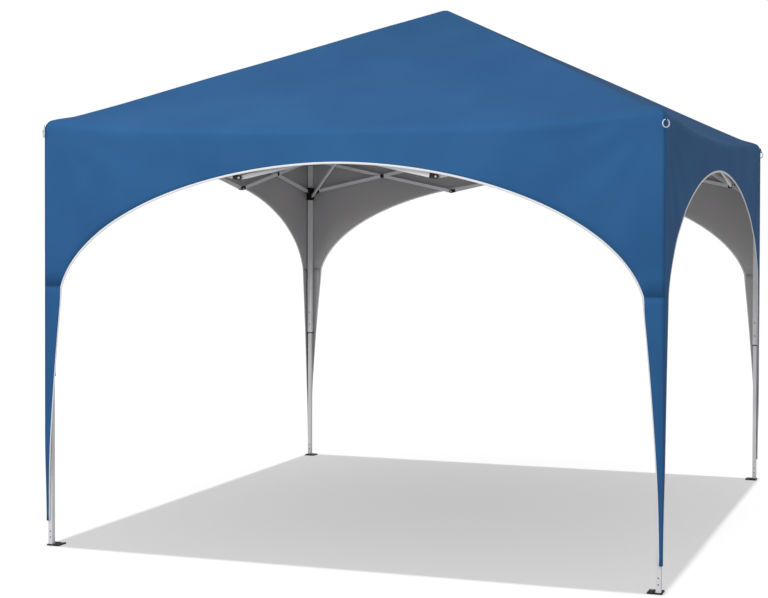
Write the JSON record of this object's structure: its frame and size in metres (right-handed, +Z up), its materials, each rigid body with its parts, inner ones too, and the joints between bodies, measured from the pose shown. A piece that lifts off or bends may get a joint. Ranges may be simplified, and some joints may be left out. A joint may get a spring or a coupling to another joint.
{
  "type": "pop-up canopy tent",
  "caption": "Square folding canopy tent with a scissor frame, telescoping legs, a hipped roof and arched sides with corner sleeves.",
  "frame": {"origin": "on the ground, under the peak", "axes": "+Z up, the four sides face -Y (front), +X, +Y and -X"},
  "size_m": [3, 3, 2.7],
  "materials": {
    "coated_steel": "satin powder coat",
    "black_plastic": "moulded",
    "cover_fabric": "coated polyester, silver inside"
  },
  "bodies": {
    "leg_a": {"outer_leg_a": "coated_steel", "top_bracket_a": "black_plastic"},
    "inner_leg_a": {"inner_leg_a": "coated_steel", "foot_a": "black_plastic"},
    "slider_a": {"slider_a": "black_plastic"},
    "outer_rib_a": {"outer_rib_a": "coated_steel"},
    "inner_rib_a": {"inner_rib_a": "coated_steel"},
    "roof_strut_a": {"roof_strut_a": "coated_steel"},
    "leg_b": {"outer_leg_b": "coated_steel", "top_bracket_b": "black_plastic"},
    "inner_leg_b": {"inner_leg_b": "coated_steel", "foot_b": "black_plastic"},
    "slider_b": {"slider_b": "black_plastic"},
    "outer_rib_b": {"outer_rib_b": "coated_steel"},
    "inner_rib_b": {"inner_rib_b": "coated_steel"},
    "roof_strut_b": {"roof_strut_b": "coated_steel"},
    "leg_c": {"outer_leg_c": "coated_steel", "top_bracket_c": "black_plastic"},
    "inner_leg_c": {"inner_leg_c": "coated_steel", "foot_c": "black_plastic"},
    "slider_c": {"slider_c": "black_plastic"},
    "outer_rib_c": {"outer_rib_c": "coated_steel"},
    "inner_rib_c": {"inner_rib_c": "coated_steel"},
    "roof_strut_c": {"roof_strut_c": "coated_steel"},
    "leg_d": {"outer_leg_d": "coated_steel", "top_bracket_d": "black_plastic"},
    "inner_leg_d": {"inner_leg_d": "coated_steel", "foot_d": "black_plastic"},
    "slider_d": {"slider_d": "black_plastic"},
    "outer_rib_d": {"outer_rib_d": "coated_steel"},
    "inner_rib_d": {"inner_rib_d": "coated_steel"},
    "roof_strut_d": {"roof_strut_d": "coated_steel"},
    "peak_hub": {"peak_hub": "black_plastic", "canopy": "cover_fabric"},
    "front_falling_bar_1": {"front_falling_bar_1": "coated_steel"},
    "front_climbing_bar_1": {"front_climbing_bar_1": "coated_steel"},
    "front_falling_bar_2": {"front_falling_bar_2": "coated_steel"},
    "front_climbing_bar_2": {"front_climbing_bar_2": "coated_steel"},
    "front_falling_bar_3": {"front_falling_bar_3": "coated_steel"},
    "front_climbing_bar_3": {"front_climbing_bar_3": "coated_steel"},
    "right_falling_bar_1": {"right_falling_bar_1": "coated_steel"},
    "right_climbing_bar_1": {"right_climbing_bar_1": "coated_steel"},
    "right_falling_bar_2": {"right_falling_bar_2": "coated_steel"},
    "right_climbing_bar_2": {"right_climbing_bar_2": "coated_steel"},
    "right_falling_bar_3": {"right_falling_bar_3": "coated_steel"},
    "right_climbing_bar_3": {"right_climbing_bar_3": "coated_steel"},
    "left_falling_bar_1": {"left_falling_bar_1": "coated_steel"},
    "left_climbing_bar_1": {"left_climbing_bar_1": "coated_steel"},
    "left_falling_bar_2": {"left_falling_bar_2": "coated_steel"},
    "left_climbing_bar_2": {"left_climbing_bar_2": "coated_steel"},
    "left_falling_bar_3": {"left_falling_bar_3": "coated_steel"},
    "left_climbing_bar_3": {"left_climbing_bar_3": "coated_steel"},
    "back_falling_bar_1": {"back_falling_bar_1": "coated_steel"},
    "back_climbing_bar_1": {"back_climbing_bar_1": "coated_steel"},
    "back_falling_bar_2": {"back_falling_bar_2": "coated_steel"},
    "back_climbing_bar_2": {"back_climbing_bar_2": "coated_steel"},
    "back_falling_bar_3": {"back_falling_bar_3": "coated_steel"},
    "back_climbing_bar_3": {"back_climbing_bar_3": "coated_steel"}
  },
  "joints": [
    {"name": "frame_fold", "type": "hinge", "parent": "peak_hub", "child": "inner_rib_a", "pos_m": [-0.02828, -0.0198, 2.6072], "axis": [0.7071, -0.7071, 0], "range_deg": [0, 51.03], "deforming": ["canopy"]},
    {"name": "rib_knee_a", "type": "hinge", "parent": "inner_rib_a", "child": "outer_rib_a", "pos_m": [-0.63372, -0.62523, 1.962], "axis": [-0.7071, 0.7071, 0], "range_deg": [0, 139.33]},
    {"name": "outer_rib_pivot_a", "type": "hinge", "parent": "outer_rib_a", "child": "leg_a", "pos_m": [-1.43557, -1.43557, 1.962], "axis": [-0.7071, 0.7071, 0], "range_deg": [-88.3, 0]},
    {"name": "leg_slide_a", "type": "slide", "parent": "leg_a", "child": "inner_leg_a", "axis": [0, 0, 1], "range_m": [0, 0.76]},
    {"name": "hub_pivot_b", "type": "hinge", "parent": "peak_hub", "child": "inner_rib_b", "pos_m": [0.0198, -0.02828, 2.6072], "axis": [-0.7071, -0.7071, 0], "range_deg": [-51.05, 0]},
    {"name": "rib_knee_b", "type": "hinge", "parent": "inner_rib_b", "child": "outer_rib_b", "pos_m": [0.62523, -0.63372, 1.962], "axis": [-0.7071, -0.7071, 0], "range_deg": [0, 139.33]},
    {"name": "outer_rib_pivot_b", "type": "hinge", "parent": "outer_rib_b", "child": "leg_b", "pos_m": [1.43557, -1.43557, 1.962], "axis": [-0.7071, -0.7071, 0], "range_deg": [-88.3, 0]},
    {"name": "leg_slide_b", "type": "slide", "parent": "leg_b", "child": "inner_leg_b", "axis": [0, 0, 1], "range_m": [0, 0.76]},
    {"name": "hub_pivot_c", "type": "hinge", "parent": "peak_hub", "child": "inner_rib_c", "pos_m": [0.02828, 0.0198, 2.6072], "axis": [0.7071, -0.7071, 0], "range_deg": [-51.05, 0]},
    {"name": "rib_knee_c", "type": "hinge", "parent": "inner_rib_c", "child": "outer_rib_c", "pos_m": [0.63372, 0.62523, 1.962], "axis": [0.7071, -0.7071, 0], "range_deg": [0, 139.33]},
    {"name": "outer_rib_pivot_c", "type": "hinge", "parent": "outer_rib_c", "child": "leg_c", "pos_m": [1.43557, 1.43557, 1.962], "axis": [0.7071, -0.7071, 0], "range_deg": [-88.3, 0]},
    {"name": "leg_slide_c", "type": "slide", "parent": "leg_c", "child": "inner_leg_c", "axis": [0, 0, 1], "range_m": [0, 0.76]},
    {"name": "hub_pivot_d", "type": "hinge", "parent": "peak_hub", "child": "inner_rib_d", "pos_m": [-0.0198, 0.02828, 2.6072], "axis": [0.7071, 0.7071, 0], "range_deg": [-51.05, 0]},
    {"name": "rib_knee_d", "type": "hinge", "parent": "inner_rib_d", "child": "outer_rib_d", "pos_m": [-0.62523, 0.63372, 1.962], "axis": [0.7071, 0.7071, 0], "range_deg": [0, 139.33]},
    {"name": "outer_rib_pivot_d", "type": "hinge", "parent": "outer_rib_d", "child": "leg_d", "pos_m": [-1.43557, 1.43557, 1.962], "axis": [0.7071, 0.7071, 0], "range_deg": [-88.3, 0]},
    {"name": "leg_slide_d", "type": "slide", "parent": "leg_d", "child": "inner_leg_d", "axis": [0, 0, 1], "range_m": [0, 0.76]},
    {"name": "front_top_start", "type": "hinge", "parent": "leg_a", "child": "front_falling_bar_1", "pos_m": [-1.438, -1.473, 1.962], "axis": [0, 1, 0], "range_deg": [0, 75.02]},
    {"name": "front_cross_1", "type": "hinge", "parent": "front_falling_bar_1", "child": "front_climbing_bar_1", "pos_m": [-0.95867, -1.473, 1.86], "axis": [0, 1, 0], "range_deg": [-150.02, 0]},
    {"name": "front_low_1", "type": "hinge", "parent": "front_falling_bar_1", "child": "front_climbing_bar_2", "pos_m": [-0.47933, -1.473, 1.758], "axis": [0, 1, 0], "range_deg": [-150.02, 0]},
    {"name": "front_cross_2", "type": "hinge", "parent": "front_climbing_bar_2", "child": "front_falling_bar_2", "pos_m": [0, -1.473, 1.86], "axis": [0, 1, 0], "range_deg": [0, 150.02]},
    {"name": "front_top_end", "type": "hinge", "parent": "leg_b", "child": "front_climbing_bar_3", "pos_m": [1.438, -1.473, 1.962], "axis": [0, 1, 0], "range_deg": [-75.02, 0]},
    {"name": "front_cross_3", "type": "hinge", "parent": "front_climbing_bar_3", "child": "front_falling_bar_3", "pos_m": [0.95867, -1.473, 1.86], "axis": [0, 1, 0], "range_deg": [0, 150.02]},
    {"name": "front_slider_start", "type": "hinge", "parent": "front_climbing_bar_1", "child": "slider_a", "pos_m": [-1.438, -1.473, 1.758], "axis": [0, 1, 0], "range_deg": [0, 75.02]},
    {"name": "front_slider_end", "type": "hinge", "parent": "front_falling_bar_3", "child": "slider_b", "pos_m": [1.438, -1.473, 1.758], "axis": [0, 1, 0], "range_deg": [-75.02, 0]},
    {"name": "right_top_start", "type": "hinge", "parent": "leg_b", "child": "right_falling_bar_1", "pos_m": [1.473, -1.438, 1.962], "axis": [-1, 0, 0], "range_deg": [0, 75.02]},
    {"name": "right_cross_1", "type": "hinge", "parent": "right_falling_bar_1", "child": "right_climbing_bar_1", "pos_m": [1.473, -0.95867, 1.86], "axis": [-1, 0, 0], "range_deg": [-150.02, 0]},
    {"name": "right_low_1", "type": "hinge", "parent": "right_falling_bar_1", "child": "right_climbing_bar_2", "pos_m": [1.473, -0.47933, 1.758], "axis": [-1, 0, 0], "range_deg": [-150.02, 0]},
    {"name": "right_cross_2", "type": "hinge", "parent": "right_climbing_bar_2", "child": "right_falling_bar_2", "pos_m": [1.473, 0, 1.86], "axis": [-1, 0, 0], "range_deg": [0, 150.02]},
    {"name": "right_top_end", "type": "hinge", "parent": "leg_c", "child": "right_climbing_bar_3", "pos_m": [1.473, 1.438, 1.962], "axis": [-1, 0, 0], "range_deg": [-75.02, 0]},
    {"name": "right_cross_3", "type": "hinge", "parent": "right_climbing_bar_3", "child": "right_falling_bar_3", "pos_m": [1.473, 0.95867, 1.86], "axis": [-1, 0, 0], "range_deg": [0, 150.02]},
    {"name": "left_top_start", "type": "hinge", "parent": "leg_a", "child": "left_falling_bar_1", "pos_m": [-1.473, -1.438, 1.962], "axis": [-1, 0, 0], "range_deg": [0, 75.02]},
    {"name": "left_cross_1", "type": "hinge", "parent": "left_falling_bar_1", "child": "left_climbing_bar_1", "pos_m": [-1.473, -0.95867, 1.86], "axis": [-1, 0, 0], "range_deg": [-150.02, 0]},
    {"name": "left_low_1", "type": "hinge", "parent": "left_falling_bar_1", "child": "left_climbing_bar_2", "pos_m": [-1.473, -0.47933, 1.758], "axis": [-1, 0, 0], "range_deg": [-150.02, 0]},
    {"name": "left_cross_2", "type": "hinge", "parent": "left_climbing_bar_2", "child": "left_falling_bar_2", "pos_m": [-1.473, 0, 1.86], "axis": [-1, 0, 0], "range_deg": [0, 150.02]},
    {"name": "left_top_end", "type": "hinge", "parent": "leg_d", "child": "left_climbing_bar_3", "pos_m": [-1.473, 1.438, 1.962], "axis": [-1, 0, 0], "range_deg": [-75.02, 0]},
    {"name": "left_cross_3", "type": "hinge", "parent": "left_climbing_bar_3", "child": "left_falling_bar_3", "pos_m": [-1.473, 0.95867, 1.86], "axis": [-1, 0, 0], "range_deg": [0, 150.02]},
    {"name": "back_top_start", "type": "hinge", "parent": "leg_d", "child": "back_falling_bar_1", "pos_m": [-1.438, 1.473, 1.962], "axis": [0, 1, 0], "range_deg": [0, 75.02]},
    {"name": "back_cross_1", "type": "hinge", "parent": "back_falling_bar_1", "child": "back_climbing_bar_1", "pos_m": [-0.95867, 1.473, 1.86], "axis": [0, 1, 0], "range_deg": [-150.02, 0]},
    {"name": "back_low_1", "type": "hinge", "parent": "back_falling_bar_1", "child": "back_climbing_bar_2", "pos_m": [-0.47933, 1.473, 1.758], "axis": [0, 1, 0], "range_deg": [-150.02, 0]},
    {"name": "back_cross_2", "type": "hinge", "parent": "back_climbing_bar_2", "child": "back_falling_bar_2", "pos_m": [0, 1.473, 1.86], "axis": [0, 1, 0], "range_deg": [0, 150.02]},
    {"name": "back_top_end", "type": "hinge", "parent": "leg_c", "child": "back_climbing_bar_3", "pos_m": [1.438, 1.473, 1.962], "axis": [0, 1, 0], "range_deg": [-75.02, 0]},
    {"name": "back_cross_3", "type": "hinge", "parent": "back_climbing_bar_3", "child": "back_falling_bar_3", "pos_m": [0.95867, 1.473, 1.86], "axis": [0, 1, 0], "range_deg": [0, 150.02]},
    {"name": "back_slider_start", "type": "hinge", "parent": "back_climbing_bar_1", "child": "slider_d", "pos_m": [-1.438, 1.473, 1.758], "axis": [0, 1, 0], "range_deg": [0, 75.02]},
    {"name": "back_slider_end", "type": "hinge", "parent": "back_falling_bar_3", "child": "slider_c", "pos_m": [1.438, 1.473, 1.758], "axis": [0, 1, 0], "range_deg": [-75.02, 0]},
    {"name": "strut_pivot_a", "type": "hinge", "parent": "slider_a", "child": "roof_strut_a", "pos_m": [-1.43557, -1.43557, 1.728], "axis": [-0.7071, 0.7071, 0], "range_deg": [-62.37, 0]},
    {"name": "strut_pivot_b", "type": "hinge", "parent": "slider_b", "child": "roof_strut_b", "pos_m": [1.43557, -1.43557, 1.728], "axis": [-0.7071, -0.7071, 0], "range_deg": [-62.37, 0]},
    {"name": "strut_pivot_c", "type": "hinge", "parent": "slider_c", "child": "roof_strut_c", "pos_m": [1.43557, 1.43557, 1.728], "axis": [0.7071, -0.7071, 0], "range_deg": [-62.37, 0]},
    {"name": "strut_pivot_d", "type": "hinge", "parent": "slider_d", "child": "roof_strut_d", "pos_m": [-1.43557, 1.43557, 1.728], "axis": [0.7071, 0.7071, 0], "range_deg": [-62.37, 0]}
  ],
  "couplings": [
    {"joint": "rib_knee_a", "follows": "frame_fold", "ratio": 2.73},
    {"joint": "outer_rib_pivot_a", "follows": "frame_fold", "ratio": -1.73},
    {"joint": "hub_pivot_b", "follows": "frame_fold", "ratio": -1},
    {"joint": "rib_knee_b", "follows": "frame_fold", "ratio": 2.73},
    {"joint": "outer_rib_pivot_b", "follows": "frame_fold", "ratio": -1.73},
    {"joint": "hub_pivot_c", "follows": "frame_fold", "ratio": -1},
    {"joint": "rib_knee_c", "follows": "frame_fold", "ratio": 2.73},
    {"joint": "outer_rib_pivot_c", "follows": "frame_fold", "ratio": -1.73},
    {"joint": "hub_pivot_d", "follows": "frame_fold", "ratio": -1},
    {"joint": "rib_knee_d", "follows": "frame_fold", "ratio": 2.73},
    {"joint": "outer_rib_pivot_d", "follows": "frame_fold", "ratio": -1.73},
    {"joint": "front_top_start", "follows": "frame_fold", "ratio": 1.4697},
    {"joint": "front_cross_1", "follows": "frame_fold", "ratio": -2.9394},
    {"joint": "front_low_1", "follows": "frame_fold", "ratio": -2.9394},
    {"joint": "front_cross_2", "follows": "frame_fold", "ratio": 2.9394},
    {"joint": "front_top_end", "follows": "frame_fold", "ratio": -1.4697},
    {"joint": "front_cross_3", "follows": "frame_fold", "ratio": 2.9394},
    {"joint": "front_slider_start", "follows": "frame_fold", "ratio": 1.4697},
    {"joint": "front_slider_end", "follows": "frame_fold", "ratio": -1.4697},
    {"joint": "right_top_start", "follows": "frame_fold", "ratio": 1.4697},
    {"joint": "right_cross_1", "follows": "frame_fold", "ratio": -2.9394},
    {"joint": "right_low_1", "follows": "frame_fold", "ratio": -2.9394},
    {"joint": "right_cross_2", "follows": "frame_fold", "ratio": 2.9394},
    {"joint": "right_top_end", "follows": "frame_fold", "ratio": -1.4697},
    {"joint": "right_cross_3", "follows": "frame_fold", "ratio": 2.9394},
    {"joint": "left_top_start", "follows": "frame_fold", "ratio": 1.4697},
    {"joint": "left_cross_1", "follows": "frame_fold", "ratio": -2.9394},
    {"joint": "left_low_1", "follows": "frame_fold", "ratio": -2.9394},
    {"joint": "left_cross_2", "follows": "frame_fold", "ratio": 2.9394},
    {"joint": "left_top_end", "follows": "frame_fold", "ratio": -1.4697},
    {"joint": "left_cross_3", "follows": "frame_fold", "ratio": 2.9394},
    {"joint": "back_top_start", "follows": "frame_fold", "ratio": 1.4697},
    {"joint": "back_cross_1", "follows": "frame_fold", "ratio": -2.9394},
    {"joint": "back_low_1", "follows": "frame_fold", "ratio": -2.9394},
    {"joint": "back_cross_2", "follows": "frame_fold", "ratio": 2.9394},
    {"joint": "back_top_end", "follows": "frame_fold", "ratio": -1.4697},
    {"joint": "back_cross_3", "follows": "frame_fold", "ratio": 2.9394},
    {"joint": "back_slider_start", "follows": "frame_fold", "ratio": 1.4697},
    {"joint": "back_slider_end", "follows": "frame_fold", "ratio": -1.4697},
    {"joint": "strut_pivot_a", "follows": "frame_fold", "ratio": -1.2218},
    {"joint": "strut_pivot_b", "follows": "frame_fold", "ratio": -1.2218},
    {"joint": "strut_pivot_c", "follows": "frame_fold", "ratio": -1.2218},
    {"joint": "strut_pivot_d", "follows": "frame_fold", "ratio": -1.2218}
  ]
}
